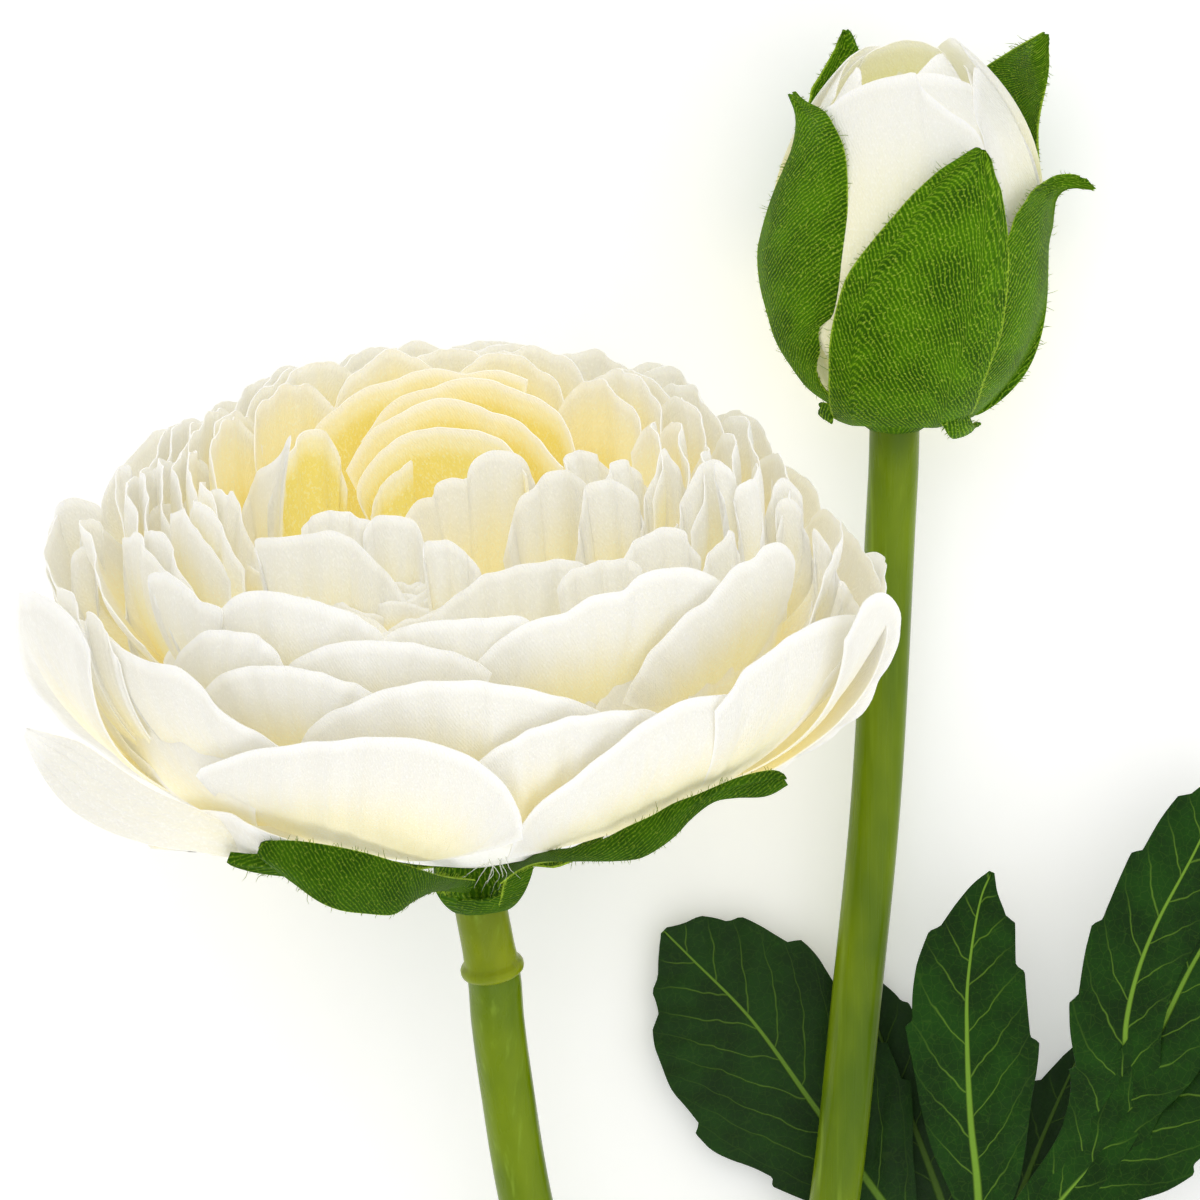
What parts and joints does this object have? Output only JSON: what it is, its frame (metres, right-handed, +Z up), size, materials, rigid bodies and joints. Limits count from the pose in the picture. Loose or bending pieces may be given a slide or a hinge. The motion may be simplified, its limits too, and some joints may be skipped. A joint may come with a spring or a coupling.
{
  "type": "ranunculus flower",
  "caption": "Cut fabric ranunculus spray lying on its side: an open double bloom, a closed bud and a tuft of toothed leaves on one forked stem.",
  "frame": {"origin": "on the surface that the spray lies on, under the middle of its outline", "axes": "+Y along the stem from its cut end to the flowers, +Z up from the surface that it lies on, +X to the right of someone who looks down on it with the flowers at the top"},
  "size_m": [0.1347, 0.2071, 0.0775],
  "materials": {
    "petals": "white satin fabric, cream in the depths",
    "bud_petals": "white ribbed fabric",
    "sepals": "green twill fabric with pale frayed edges",
    "stub": "glossy yellow-green",
    "stem": "glossy green with a yellow cast",
    "leaves": "dark green printed fabric with light veins"
  },
  "bodies": {
    "root": {"bloom_petals": "petals", "bloom_calyx": "sepals", "bloom_stub": "stub", "bud_petals": "bud_petals", "bud_sepals": "sepals", "stem": "stem", "leaf_cluster": "leaves"}
  },
  "joints": []
}
